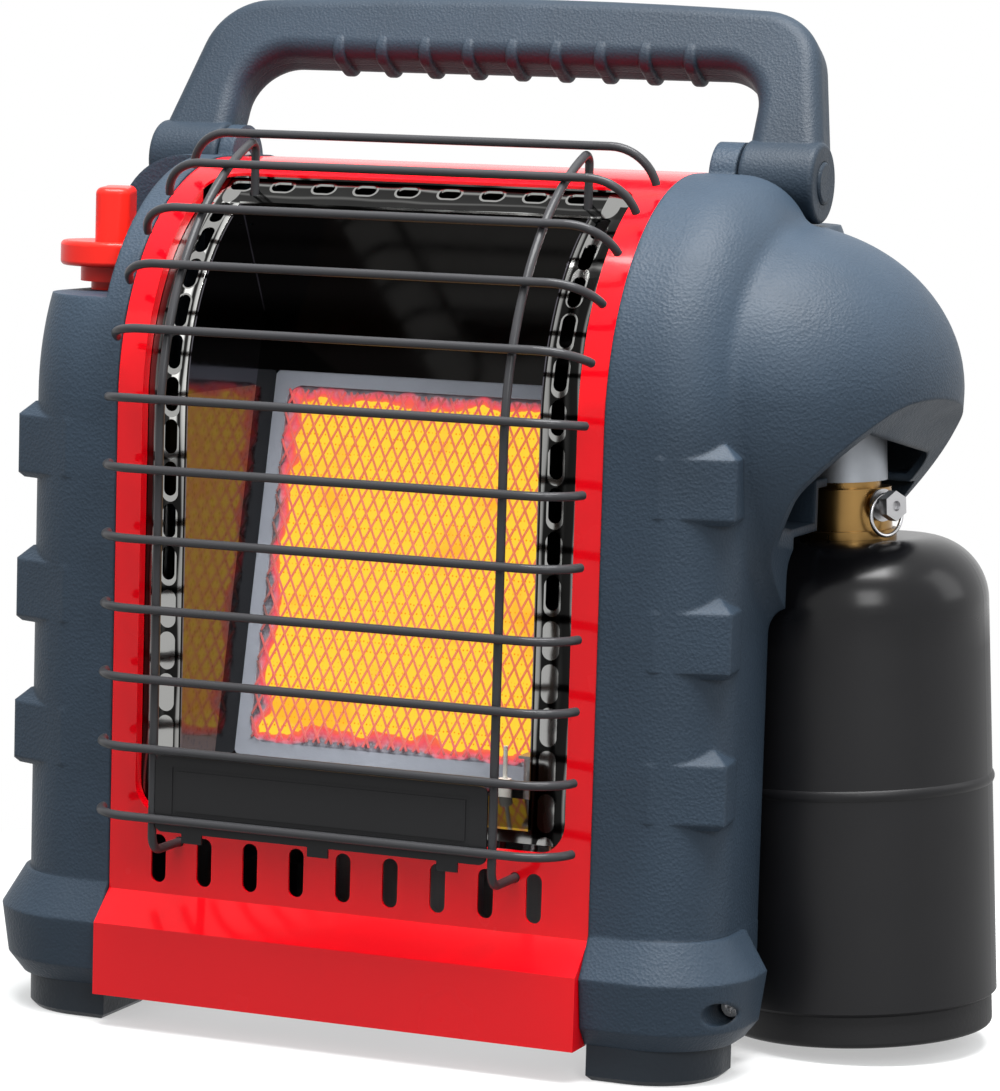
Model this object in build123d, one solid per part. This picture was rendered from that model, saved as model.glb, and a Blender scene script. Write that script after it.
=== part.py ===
from build123d import *
from math import atan, cos, degrees, pi, radians, sin, tan
import os

# Portable propane heater with a red steel wrap, two moulded side casings, a wire guard, a radiant
# ceramic burner, a folding bail handle and a one pound gas cylinder on a swing-out regulator.
# Millimetres. X runs across the heater, Y from front to back, Z up from the floor.
# Everything is drawn about the middle plane of the red wrap; FRAME_SHIFT then moves it so that
# the origin is under the middle of the whole heater.

os.makedirs("parts", exist_ok=True)

# ---------------------------------------------------------------- driving dimensions
PANEL_X = 95.0          # half width of the steel wrap
FRONT = -71.0           # front face of the wrap
REAR = 92.0             # back face of the casing
TOP = 319.0             # top of the wrap
FRONT_ARC = 88.0        # side-view radius over the front of the top
REAR_ARC = 40.0         # side-view radius over the back of the top
SHEET = 1.0             # steel sheet thickness
BODY_LOW = 12.2         # underside of the steel body
FOLD_Z = 50.0           # fold where the apron starts
APRON_Y = -83.0         # front face of the apron
APRON_Z = 39.0          # top of the apron's upright face
WINDOW_X = 85.0         # half width of the window
WINDOW_LOW = 79.0
WINDOW_BACK = -12.5     # the window runs over the top as far as this
WINDOW_CORNER = 12.0
LIP = 4.6               # depth of the window's turned-in lip

WALL = 3.0              # moulded casing wall
SEAM = 0.3              # gap between the wrap and each side casing
PROUD = 0.5             # how far the casings stand over the wrap
SHELL_X = 139.0         # outer face of the side casings
SHELL_LOW = 13.0
SHELL_EDGE = 28.0       # round along the outer edge of a casing
FLARE_X = 149.5         # widest line of the base flare
FLARE_FRONT = -80.0
FLARE_Z = 38.0
FLARE_RISE = 14.0

PIVOT_Y = 38.0          # handle pivot
PIVOT_Z = 317.0
HANDLE_LEAN = 28.0      # degrees back from upright, as it rests
HANDLE_TOP = 70.8       # from the pivot to the top of the grip
GRIP = 27.3
HANDLE_MID = 2.0        # middle of the handle, right of the wrap's middle
HANDLE_X = 135.0        # half width over the arms
ARM_IN = 106.0
ARM_HALF = 10.5         # half thickness of the handle
RIM_ROUND = 6.5

CYL_X = 146.4           # gas cylinder axis, drawn upright
CYL_Y = 41.0
CYL_R = 51.5
CYL_LOW = 5.0
BEAD = 0.8
SWING_X = 142.0         # regulator swivel axis, along Y
SWING_Z = 252.0
LEAN = 3.6              # degrees that the regulator and cylinder hang outward at rest
THREAD_R = 12.7         # 1 inch cylinder thread
FIT = 0.05              # radial clearance of turning fits

KNOB_X = -126.7
KNOB_Y = -14.0
SHELF_Z = 268.0         # floor of the knob notch
STRIP_X = 104.5         # casing strip left beside the wrap at the notch

WIRE = 3.2              # guard wire diameter
WIRE_PITCH = 25.3
WIRES = 12
GUARD_Y = -96.5
GUARD_LOW = 82.7
GUARD_ARC = 110.0
GUARD_ARC_Z = 225.0
UPRIGHT_X = 66.5
HOOK_Y = -18.7          # where the uprights hook down through the reflector flange

TILE = (132.0, 141.0, 12.0)
TILE_LEAN = 12.0        # degrees
TILE_Y = -4.5           # centre of the tile's front face
TILE_Z = 167.0

INNER_X = PANEL_X + SEAM
FLARE_REAR = REAR + 4
LEAN_REACH = (CYL_X + CYL_R - SWING_X) * cos(radians(LEAN)) + (SWING_Z - 18) * sin(radians(LEAN))
FRAME_SHIFT = (round((FLARE_X - SWING_X - LEAN_REACH) / 2, 2), -(FLARE_REAR + GUARD_Y - WIRE / 2) / 2, 0)


# ---------------------------------------------------------------- helpers
def save(name, shape):
    """Write one sub-part, moved into the shared frame."""
    export_step(Pos(*FRAME_SHIFT) * shape, f"parts/{name}.step")


def block(x0, x1, y0, y1, z0, z1):
    """A box from its lowest and highest corners."""
    middle = ((x0 + x1) / 2, (y0 + y1) / 2, (z0 + z1) / 2)
    return Pos(*middle) * Box(abs(x1 - x0), abs(y1 - y0), abs(z1 - z0))


def rod(start, end, radius):
    """A round bar between two points."""
    axis = Vector(*end) - Vector(*start)
    return Plane(origin=start, z_dir=axis) * Cylinder(
        radius, axis.length, align=(Align.CENTER, Align.CENTER, Align.MIN))


def mirrored(shape):
    """The same shape on the other side of the heater."""
    return mirror(shape, about=Plane.YZ)


def hung(shape):
    """A part of the regulator or cylinder, swung out to where it hangs at rest."""
    return Pos(SWING_X, 0, SWING_Z) * (Rot(0, -LEAN, 0) * (Pos(-SWING_X, 0, -SWING_Z) * shape))


def pipe(points, radii, radius):
    """A bent tube or lead: straight runs joined by tangent arcs."""
    path = FilletPolyline(*points, radius=radii)
    start = Plane(origin=path @ 0, z_dir=path % 0)
    return sweep(start * Circle(radius), path=path)


def fused(shapes):
    """All the shapes as one solid."""
    total = shapes[0]
    for shape in shapes[1:]:
        total += shape
    return total


# ---------------------------------------------------------------- casing outline
def side_outline(inset, low):
    """Side view of the casing as a face: upright front, large front arc, flat top, rear arc."""
    front, rear, top = FRONT + inset, REAR - inset, TOP - inset
    arc, back = FRONT_ARC - inset, REAR_ARC - inset
    with BuildSketch(Plane.YZ) as view:
        with BuildLine():
            Line((front, low), (front, top - arc))
            CenterArc((front + arc, top - arc), arc, 180, -90)
            Line((front + arc, top), (rear - back, top))
            CenterArc((rear - back, top - back), back, 90, -90)
            Line((rear, top - back), (rear, low))
            Line((rear, low), (front, low))
        make_face()
    return view.sketch


def wrap_outline():
    """Side view of the steel wrap, with its sloping fold and upright apron."""
    knee = (FRONT, FOLD_Z)
    with BuildSketch(Plane.YZ) as view:
        with BuildLine():
            Line((REAR + 8, BODY_LOW), (APRON_Y, BODY_LOW))
            Line((APRON_Y, BODY_LOW), (APRON_Y, APRON_Z))
            Line((APRON_Y, APRON_Z), knee)
            Line(knee, (FRONT, TOP - FRONT_ARC))
            CenterArc((FRONT + FRONT_ARC, TOP - FRONT_ARC), FRONT_ARC, 180, -90)
            Line((FRONT + FRONT_ARC, TOP), (REAR + 8, TOP))
            Line((REAR + 8, TOP), (REAR + 8, BODY_LOW))
        make_face()
        folds = [v for v in view.vertices() if v.Y < FRONT + 1 and v.Z < FOLD_Z + 1]
        fillet(folds, 4.5)
    return view.sketch


def curve_point(distance, inset):
    """Point and outward normal (Y, Z) on the front curve, by distance up from WINDOW_LOW."""
    radius = FRONT_ARC - inset
    straight = TOP - FRONT_ARC - WINDOW_LOW
    if distance <= straight:
        return (FRONT + inset, WINDOW_LOW + distance), (-1.0, 0.0)
    turn = (distance - straight) / radius
    normal = (-cos(turn), sin(turn))
    centre = (FRONT + FRONT_ARC, TOP - FRONT_ARC)
    return (centre[0] + radius * normal[0], centre[1] + radius * normal[1]), normal


# ---------------------------------------------------------------- steel body
SEAM_Y = REAR - REAR_ARC    # the wrap meets the back where the top starts to curve down
VENT_PITCH = 18.6
VENT_Z = 63.0


def window_space(grow):
    """The window's opening, run straight through the front and the top."""
    half, low, back = WINDOW_X + grow, WINDOW_LOW - grow, WINDOW_BACK + grow
    corner, height = WINDOW_CORNER + grow, 400.0
    space = Pos(0, back - 45, low + height / 2) * Box(2 * half, 90, height)
    low_edges = space.edges().filter_by(Axis.Y).group_by(Axis.Z)[0]
    space = fillet(low_edges, corner)
    crown = Pos(0, back - corner, 300) * Box(2 * half, 2 * corner, 60)
    return space - (crown - fillet(crown.edges().filter_by(Axis.Z).group_by(Axis.Y)[-1], corner))


def window_lip():
    """Sheet turned inward round the window."""
    outline = wrap_outline()
    depth = extrude(outline - offset(outline, -LIP), PANEL_X, both=True)
    lip = depth & (window_space(SHEET) - window_space(0))
    return lip & block(-100, 100, -90, WINDOW_BACK - WINDOW_CORNER, 60, 330)


def front_panel():
    """Red steel wrap: apron, front with its window and intake slots, and the top."""
    outline = wrap_outline()
    sheet = outline - offset(outline, -SHEET)
    panel = extrude(sheet, PANEL_X, both=True)
    panel -= block(-100, 100, SEAM_Y, 110, 0, 330)
    panel -= block(-100, 100, -70, 110, 0, BODY_LOW + SHEET + 0.5)
    returns = extrude(outline, PANEL_X, both=True) & block(-100, 100, -90, FRONT + 0.5, 0, FOLD_Z + 4)
    panel += returns - block(-PANEL_X + SHEET, PANEL_X - SHEET, -90, 0, 0, 60)
    panel -= window_space(0)
    panel += window_lip()
    slot = Plane.XZ * SlotOverall(18.0, 6.0, rotation=90)
    for i in range(-4, 5):
        panel -= Pos(i * VENT_PITCH - 0.5, FRONT + 5, VENT_Z) * extrude(slot, 5, both=True)
    for side in (-1, 1):
        panel -= rod((side * UPRIGHT_X, FRONT - 5, 70), (side * UPRIGHT_X, FRONT + 5, 70), WIRE / 2 + 0.3)
    return panel


def rear_panel():
    """Black steel back with two banks of cooling slots."""
    sheet = side_outline(0, BODY_LOW) - side_outline(SHEET, BODY_LOW + SHEET)
    panel = extrude(sheet, PANEL_X, both=True)
    panel -= block(-100, 100, -80, SEAM_Y + 0.3, 0, 330)
    panel -= block(-100, 100, 60, 80, 0, 100)
    slot = Plane.XZ * SlotOverall(62.0, 4.0)
    rows = [z for z in range(215, 281, 11)] + [z for z in range(52, 97, 11)]
    for z in rows:
        for side in (-1, 1):
            panel -= Pos(side * 44, REAR, z) * extrude(slot, 4, both=True)
    return panel


BASE_Z = BODY_LOW + SHEET + 0.1
BASE_T = 1.2


def base_plate():
    """Steel floor of the body, lying on the turned-in lips of the wrap and the back."""
    half = PANEL_X - SHEET - 0.2
    plate = block(-half, half, APRON_Y + 6, REAR - 1.3, BASE_Z, BASE_Z + BASE_T)
    for x in (-40, 0, 40):
        plate -= Pos(x, 20, BASE_Z) * extrude(SlotOverall(30, 8), 3, both=True)
    return plate


# ---------------------------------------------------------------- side casings
def casing_block(inset):
    """Right casing without its flare: the side view run outward, its outer edge rounded."""
    start = INNER_X if inset < 0 else INNER_X - 1
    low = SHELL_LOW if inset < 0 else SHELL_LOW + WALL
    body = extrude(side_outline(inset, low), SHELL_X - (inset + PROUD) - start)
    body = Pos(start, 0, 0) * body
    outer = body.faces().sort_by(Axis.X)[-1]
    rounded = [e for e in outer.edges() if e.center().Z > low + 1]
    return fillet(rounded, SHELL_EDGE - inset - PROUD)


def casing_flare(inset):
    """Base flare: a rounded block widest at FLARE_Z, drawn in above and below."""
    x0, x1 = INNER_X - 30, FLARE_X - inset
    y0, y1 = FLARE_FRONT + inset, FLARE_REAR - inset
    plan = Pos((x0 + x1) / 2, (y0 + y1) / 2, FLARE_Z) * Rectangle(x1 - x0, y1 - y0)
    front_corner = plan.vertices().group_by(Axis.X)[-1].sort_by(Axis.Y)[0]
    plan = fillet(front_corner, 36.0 - inset)
    rear_corner = plan.vertices().sort_by(Axis.Y).group_by(Axis.X)[-1].sort_by(Axis.Y)[-1]
    plan = fillet(rear_corner, 25.0 - inset)
    upper = extrude(plan, FLARE_RISE, taper=31.0)
    lower = extrude(plan, -18, taper=8.0)
    sole = lower.faces().sort_by(Axis.Z)[0]
    depth = FLARE_Z - 18 - SHELL_LOW - (WALL if inset > 0 else 0)
    solid = upper + lower + extrude(sole, depth, dir=(0, 0, -1), taper=38.0)
    start = INNER_X if inset == 0 else INNER_X - 1
    return solid & block(start, 200, -120, 130, 0, 60)


PAD_LOWS = (199.4, 145.4, 91.8)
PAD_TALL = 28.4
PAD_PLAN = ((100.0, -71.45), (116.0, -71.45), (141.3, -62.0), (139.7, -46.0), (100.0, -46.0))


def corner_pads():
    """Three raised wedge pads round the front outer corner of a casing, sloping off above."""
    pads = []
    for low in PAD_LOWS:
        pad = Pos(0, 0, low) * extrude(Polygon(*PAD_PLAN, align=None), PAD_TALL)
        outer = [e for e in pad.edges() if abs(e.tangent_at(0.5).Z) < 0.1 and e.center().X > 101]
        outer = ShapeList(e for e in outer if e.center().Y < -47).sort_by(Axis.Z)
        half = len(outer) // 2
        pad = chamfer(outer[half:], 5.2)
        outer = [e for e in pad.edges() if abs(e.center().Z - low) < 0.01]
        pad = chamfer([e for e in outer if e.center().X > 101 and e.center().Y < -47], 2.2)
        upright = [e for e in pad.edges() if abs(e.tangent_at(0.5).Z) > 0.99 and e.center().X > 140.5]
        pads.append(fillet(upright, 2.0))
    return pads


def hinge_lug(arm):
    """Knuckle for the handle pin, moulded on top of a casing beside the arm's inner face."""
    width = arm - 0.8 - 97
    knuckle = rod((97, PIVOT_Y, PIVOT_Z), (97 + width, PIVOT_Y, PIVOT_Z), 14.0)
    foot = block(97, 97 + width, PIVOT_Y - 14, PIVOT_Y + 14, PIVOT_Z - 8, PIVOT_Z)
    return knuckle + foot


def handle_pocket(arm, grow):
    """Room in the shoulder of a casing for a handle arm, upright or folded back."""
    return block(arm - 0.6 - grow, 240, PIVOT_Y - 16.5 - grow, 140, PIVOT_Z - 16.0 - grow, 340)


def knob_notch(grow):
    """Notch for the knob in the left casing, drawn on the right-hand side."""
    notch = block(STRIP_X - grow, 240, -120, KNOB_Y + 26 + grow, SHELF_Z - grow, 340)
    inner = notch.edges().filter_by(Axis.Z).group_by(Axis.X)[0].sort_by(Axis.Y)[-1]
    return fillet(inner, 8.0 - grow)


DOME_CENTRE = (126.7, 18.0, 243.1)
DOME_AXES = (69.4, 74.0, 60.0)
DOME_BELOW = 90.0       # half height of the hood below its widest level
RIM = ((145.5, 181.0), (156.0, 203.0), (189.0, 240.4), (260.0, 281.0))
RIM_ROUNDS = (25.0, 30.0, 40.0)
RIM_TILT = 0.16         # the rim climbs towards the front
RECESS_X = 98.5
RECESS_Y = -15.0
RECESS_REAR = 89.5
RECESS_BACK_X = 125.0   # the bay is closed behind as far as this
RECESS_TOP = 192.0
LINER = 2.9
VALLEY = 8.0            # radius of the valley between casing and hood
SWEEP_R = 29.0          # room in the roof of the bay for the relief valve to turn round
SWEEP_TOP = 207.5
SLOT_END = 177.5


def rim_space(grow):
    """Everything under the hood's rim: an arch in front view, run from back to front."""
    corners = [(144.8, 100.0), *RIM, (260.0, 100.0)]
    arch = Polygon(*corners, align=None)
    for (x, z), round_ in zip(RIM, RIM_ROUNDS):
        arch = fillet([v for v in arch.vertices() if abs(v.X - x) < 0.1 and abs(v.Y - z) < 0.1], round_)
    if grow > 0:
        arch = offset(arch, grow, kind=Kind.INTERSECTION)
    face = Plane(origin=(0, 140, -140 * RIM_TILT), x_dir=(1, 0, 0), z_dir=(0, -1, 0)) * arch
    return extrude(face, 260, dir=(0, -1, RIM_TILT))


def egg(inset):
    """The whole hood shape: half an ellipsoid above its widest level and a taller half below."""
    x, y, z = (a - inset for a in DOME_AXES)
    level = DOME_CENTRE[2]
    upper = scale(Sphere(1), by=(x, y, z)) & block(-100, 100, -100, 100, 0, 100)
    lower = scale(Sphere(1), by=(x, y, DOME_BELOW - inset)) & block(-100, 100, -100, 100, -100, 0)
    return Pos(DOME_CENTRE[0], DOME_CENTRE[1], level) * (upper + lower)


def dome(inset):
    """Egg-shaped hood over the regulator, cut away under its rim."""
    start = INNER_X if inset == 0 else INNER_X - 1
    return (egg(inset) - rim_space(inset)) & block(start, 260, -120, 130, 0, 340)


def cylinder_recess(grow):
    """Bay for the gas cylinder, open to the right and closed behind only near the wrap."""
    x0, y0, y1 = RECESS_X - grow, RECESS_Y - grow, RECESS_REAR + grow
    plan = Pos((x0 + 260) / 2, (y0 + y1) / 2, -5) * Rectangle(260 - x0, y1 - y0)
    front = plan.vertices().group_by(Axis.X)[0].sort_by(Axis.Y)[0]
    plan = fillet(front, 50.0 + grow)
    back = plan.vertices().group_by(Axis.X)[0].sort_by(Axis.Y)[-1]
    bay = extrude(fillet(back, 20.0 + grow), RECESS_TOP + grow + 5)
    bay += block(RECESS_BACK_X - grow, 260, y1 - 5, 140, -5, RECESS_TOP + grow)
    sweep = Pos(CYL_X + 3.2, CYL_Y, 180) * extrude(Circle(SWEEP_R + grow), SWEEP_TOP + grow - 180)
    return bay + sweep


def inlet_slot():
    """Opening under the hood, from its front lip to behind the regulator inlet, which swings in it."""
    ring = Pos(CYL_X + 3.1, CYL_Y, 186) * extrude(Circle(19.0), 28)
    start, back = CYL_X + 1.2, CYL_Y + 17.5
    run = Pos((start + SLOT_END) / 2, (back - 70) / 2) * Rectangle(SLOT_END - start, back + 70)
    run = fillet([v for v in run.vertices() if v.X > CYL_X + 10], 13)
    return ring + (Pos(0, 0, 186) * extrude(run, 62) & egg(WALL + 0.8))


WELL = (141.6, 27.0)
WELL_DEEP = -46.0


def screw_well():
    """Deep screw well low on the front corner of the right casing."""
    x, z = WELL
    return rod((x, -90, z), (x, WELL_DEEP, z), 4.4) + rod((x, WELL_DEEP - 1, z), (x, WELL_DEEP + 11.5, z), 1.8)


def well_boss():
    """Moulded tube round the screw well."""
    x, z = WELL
    return rod((x, -90, z), (x, WELL_DEEP + 13, z), 7.2)


def hooded_block():
    """Casing block and hood, with a round valley where they meet."""
    body = casing_block(-PROUD) + dome(0)
    valley = []
    for edge in body.edges().filter_by(GeomType.BSPLINE):
        box = edge.bounding_box()
        if box.min.X > 134 and box.max.X < 139.1 and box.min.Z > 190:
            valley.append(edge)
    return fillet(valley, VALLEY)


def right_casing():
    """Right side casing with the regulator hood and the cylinder bay."""
    arm = ARM_IN + HANDLE_MID
    outer = fused([hooded_block(), casing_flare(0)] + corner_pads())
    inner = casing_block(WALL - PROUD) + casing_flare(WALL) + dome(WALL)
    outer -= cylinder_recess(0)
    outer -= handle_pocket(arm, 0)
    outer -= block(SHELL_X + 0.2, 200, -33, RECESS_Y + 20, 0, 60)
    inner -= cylinder_recess(LINER)
    inner -= handle_pocket(arm, WALL)
    inner -= block(SHELL_X - WALL, 200, -33 - WALL, 200, 0, 60)
    inner -= well_boss()
    shell = outer - inner + hinge_lug(arm)
    shell -= inlet_slot()
    shell -= rod((90, PIVOT_Y, PIVOT_Z), (120, PIVOT_Y, PIVOT_Z), 4.0)
    return shell - screw_well()


def left_casing():
    """Left side casing with the notch for the control knob."""
    arm = ARM_IN - HANDLE_MID
    outer = fused([casing_block(-PROUD), casing_flare(0)] + corner_pads())
    inner = casing_block(WALL - PROUD) + casing_flare(WALL)
    outer -= handle_pocket(arm, 0)
    outer -= knob_notch(0)
    inner -= handle_pocket(arm, WALL)
    inner -= knob_notch(WALL)
    shell = outer - inner + hinge_lug(arm)
    shell -= rod((90, PIVOT_Y, PIVOT_Z), (120, PIVOT_Y, PIVOT_Z), 4.0)
    shell -= rod((-KNOB_X, KNOB_Y, SHELF_Z - 10), (-KNOB_X, KNOB_Y, SHELF_Z + 5), 9.6)
    return mirrored(shell)


def front_foot():
    """Moulded block under the front corner of a casing."""
    plan = Pos(117, -54, 0) * Rectangle(42, 36)
    corner = plan.vertices().group_by(Axis.X)[-1].sort_by(Axis.Y)[0]
    foot = extrude(fillet(corner, 28), SHELL_LOW)
    return chamfer(foot.faces().sort_by(Axis.Z)[0].edges(), 1.8)


def rear_foot():
    """Moulded block under the back of the steel body."""
    foot = Pos(76, 70, 0) * extrude(RectangleRounded(32, 30, 5), BODY_LOW)
    return chamfer(foot.faces().sort_by(Axis.Z)[0].edges(), 1.8)


# ---------------------------------------------------------------- radiant burner
tilt = radians(TILE_LEAN)
BURNER = Plane(origin=(0, TILE_Y, TILE_Z), x_dir=(1, 0, 0), z_dir=(0, -cos(tilt), sin(tilt)))
PAN = (142.0, 151.0, 42.0)


def plate(width, height, z0, z1, corner=0):
    """A slab in the burner's own frame, z0 to z1 in front of the tile face."""
    face = RectangleRounded(width, height, corner) if corner else Rectangle(width, height)
    return BURNER * (Pos(0, 0, z0) * extrude(face, z1 - z0))


def burner_pan():
    """Pressed steel plenum that holds the tile and feeds it from behind."""
    width, height, depth = PAN
    pan = plate(width, height, -depth, 0, 9)
    pan -= plate(width - 3.6, height - 3.6, -TILE[2] - 0.4, 1, 7.2)
    pan -= plate(width - 8, height - 8, -depth + 1.2, -TILE[2] - 0.3, 5)
    return pan - rod((0, 0, 108), (0, 60, 108), 10.0)


def tile_gasket():
    """White fibre gasket round the tile."""
    ring = plate(PAN[0] - 3.8, PAN[1] - 3.8, -TILE[2], -0.8, 7)
    return ring - plate(TILE[0] + 0.3, TILE[1] + 0.3, -TILE[2] - 1, 1)


def tile_frame():
    """Thin steel bezel that clamps the tile and its gasket into the pan."""
    return plate(PAN[0], PAN[1], 0.1, 0.9, 9) - plate(TILE[0] - 5, TILE[1] - 5, -1, 2, 6)


REFLECTOR_INSET = 5.0
REFLECTOR_T = 0.8
CHEEK_X = 69.0
BROW_TURN = 60.0        # degrees round the front arc to the edge where the roof starts
FLANGE_BACK = (-11.0, 312.2)


def reflector_corners():
    """Side-view corners of the space in front of the tile: brow, tile top, tile foot, sill."""
    radius = FRONT_ARC - REFLECTOR_INSET
    turn = radians(BROW_TURN)
    brow = (FRONT + FRONT_ARC - radius * cos(turn), TOP - FRONT_ARC + radius * sin(turn))
    reach = PAN[1] / 2 - 2
    forward = 1.2
    y, z = TILE_Y - forward * cos(tilt), TILE_Z + forward * sin(tilt)
    tile_top = (y + reach * sin(tilt), z + reach * cos(tilt))
    tile_low = (y - reach * sin(tilt), z - reach * cos(tilt))
    return brow, tile_top, tile_low, (FRONT + REFLECTOR_INSET, 86.0)


def side_slab(near, far, thick, half_width):
    """A flat sheet seen edge-on in side view between two (Y, Z) points."""
    section = Polygon(near, far, (far[0], far[1] + thick), (near[0], near[1] + thick), align=None)
    return extrude(Plane.YZ * section, half_width, both=True)


def reflector():
    """Polished reflector: cheeks, roof and floor in front of the tile, and a slotted flange."""
    brow, tile_top, tile_low, sill = reflector_corners()
    side_view = extrude(side_outline(REFLECTOR_INSET, 80), CHEEK_X + REFLECTOR_T, both=True)
    cheek = Polygon(sill, (sill[0], 320), (brow[0], 320), brow, tile_top, tile_low, align=None)
    space = extrude(Plane.YZ * cheek, CHEEK_X + REFLECTOR_T, both=True) & side_view
    shell = space - block(-CHEEK_X, CHEEK_X, -80, 80, 60, 330)
    shell += side_slab(brow, tile_top, REFLECTOR_T, CHEEK_X + REFLECTOR_T)
    shell += side_slab(sill, tile_low, -REFLECTOR_T, CHEEK_X + REFLECTOR_T)
    ring = side_outline(REFLECTOR_INSET, 60) - side_outline(REFLECTOR_INSET + REFLECTOR_T, 61)
    flange = extrude(ring, 90, both=True) & block(-90, 90, -80, brow[0], 81.5, 320)
    shell += flange - block(-CHEEK_X, CHEEK_X, -80, brow[0] + 1, 86, 320)
    shell += side_slab(brow, FLANGE_BACK, -REFLECTOR_T, WINDOW_X - 0.3)
    hem = side_outline(SHEET + 0.1, 60) - side_outline(SHEET + 0.1 + REFLECTOR_T, 61)
    shell += extrude(hem, WINDOW_X - 0.3, both=True) & block(-90, 90, FLANGE_BACK[0] - 0.8, -3, 300, 320)
    slot = SlotOverall(12.6, 5.0)
    for i in range(10):
        (y, z), normal = curve_point(93.1 + 15.5 * i, REFLECTOR_INSET + REFLECTOR_T / 2)
        for side in (-1, 1):
            here = Plane(origin=(side * 75.6, y, z), x_dir=(0, normal[1], -normal[0]), z_dir=(0, *normal))
            shell -= here * extrude(slot, 2, both=True)
    for i in range(-4, 5):
        shell -= Pos(i * 16.9 - 6, -15.2, 309) * extrude(SlotOverall(8.5, 4.6), 9, both=True)
    for side in (-1, 1):
        shell -= rod((side * UPRIGHT_X, HOOK_Y, 295), (side * UPRIGHT_X, HOOK_Y, 330), WIRE / 2 + 0.3)
    return shell - block(40, 70, -37, -24, 80, 104)


def burner_mesh():
    """Fine wire screen stretched in front of the tile."""
    return plate(TILE[0] + 2, TILE[1] + 2, 1.0, 1.6) & block(-68.6, 68.6, -60, 60, 99.8, 234.5)


def venturi():
    """Mixing tube that carries gas and air into the back of the pan."""
    path = FilletPolyline((-78, 48, 108), (0, 48, 108), (0, 10, 108), radius=16)
    start = Plane(origin=path @ 0, z_dir=path % 0)
    tube = sweep(start * Circle(11.0), path=path) - sweep(start * Circle(9.8), path=path)
    tube -= plate(PAN[0], PAN[1], -PAN[2], 30)
    return tube


def heat_shield():
    """Bent steel sheet between the burner and the back panel."""
    shield = block(-86, 86, 62, 63, BASE_Z + BASE_T, 300)
    return shield + block(-86, 86, 63, 72, BASE_Z + BASE_T, BASE_Z + BASE_T + 1)


def pan_supports():
    """Two folded legs that carry the burner pan on the base plate."""
    legs = []
    for x in (-30, 30):
        leg = block(x - 8, x + 8, -9, 8, BASE_Z + BASE_T, 110)
        leg -= block(x - 6.8, x + 6.8, -10, 6.8, BASE_Z + BASE_T + 1.2, 120)
        legs.append(leg - plate(PAN[0], PAN[1], -PAN[2] - 0.05, 60))
    return Compound(legs)


# ---------------------------------------------------------------- guard
def guard_point(distance, inset):
    """Point and outward normal (Y, Z) on the guard, by distance up from its lowest wire."""
    straight = GUARD_ARC_Z - GUARD_LOW
    radius = GUARD_ARC - inset
    if distance <= straight:
        return (GUARD_Y + inset, GUARD_LOW + distance), (-1.0, 0.0)
    turn = (distance - straight) / GUARD_ARC
    normal = (-cos(turn), sin(turn))
    centre = (GUARD_Y + GUARD_ARC, GUARD_ARC_Z)
    return (centre[0] + radius * normal[0], centre[1] + radius * normal[1]), normal


WIRE_BEND = 16.3
WIRE_STRAIGHT = 76.0
WIRE_TURN = 82.0


def guard_cross_wires():
    """Twelve cross wires, each bent back at both ends."""
    wires = []
    for i in range(WIRES):
        (y, z), normal = guard_point(WIRE_PITCH * i, 0)
        here = Plane(origin=(0, y, z), x_dir=(1, 0, 0), z_dir=(0, -normal[1], normal[0]))
        sign = 1 if (here.y_dir.Y * normal[0] + here.y_dir.Z * normal[1]) < 0 else -1
        middle = Line((-WIRE_STRAIGHT, 0), (WIRE_STRAIGHT, 0))
        right = CenterArc((WIRE_STRAIGHT, sign * WIRE_BEND), WIRE_BEND, -90 * sign, WIRE_TURN * sign)
        left = CenterArc((-WIRE_STRAIGHT, sign * WIRE_BEND), WIRE_BEND, -90 * sign, -WIRE_TURN * sign)
        path = here * Wire([left, middle, right])
        start = Plane(origin=path @ 0, z_dir=path % 0)
        wires.append(sweep(start * Circle(WIRE / 2), path=path))
    return Compound(wires)


def guard_uprights():
    """Two upright wires behind the cross wires, hooked into the reflector and the wrap."""
    inset = WIRE + 0.05
    top, normal = guard_point(WIRE_PITCH * (WIRES - 1) - 2, inset)
    turn = degrees((WIRE_PITCH * (WIRES - 1) - 2 - (GUARD_ARC_Z - GUARD_LOW)) / GUARD_ARC)
    y0 = GUARD_Y + inset
    with BuildLine(Plane.YZ) as route:
        Line((FRONT - 0.0 + 3, 70), (y0 + 6, 70))
        CenterArc((y0 + 6, 76), 6, -90, -90)
        Line((y0, 76), (y0, GUARD_ARC_Z))
        CenterArc((GUARD_Y + GUARD_ARC, GUARD_ARC_Z), GUARD_ARC - inset, 180, -turn)
        bend = CenterArc((top[0] - 3.5 * normal[0], top[1] - 3.5 * normal[1]), 3.5, 180 - turn, -(180 - turn))
        Line(bend @ 1, ((bend @ 1).Y, 304))
    path = route.wires()[0]
    start = Plane(origin=path @ 0, z_dir=path % 0)
    wire = sweep(start * Circle(WIRE / 2), path=path)
    return Compound([Pos(-UPRIGHT_X, 0, 0) * wire, Pos(UPRIGHT_X, 0, 0) * wire])


def guard_plate():
    """Pressed plate across the foot of the guard, with three small tabs below it."""
    back = GUARD_Y + WIRE / 2 + 0.1
    sheet = block(-64.8, 64.8, back, back + 1, 78, 106)
    sheet = fillet(sheet.edges().filter_by(Axis.Y), 3)
    for x in (-50, 0, 50):
        sheet += block(x - 4, x + 4, back, back + 1, 74.5, 79)
    border = block(-58, 58, back - 0.01, back + 0.35, 84.6, 102)
    border -= block(-56.6, 56.6, back - 1, back + 1, 86, 100.6)
    return sheet - border


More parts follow.
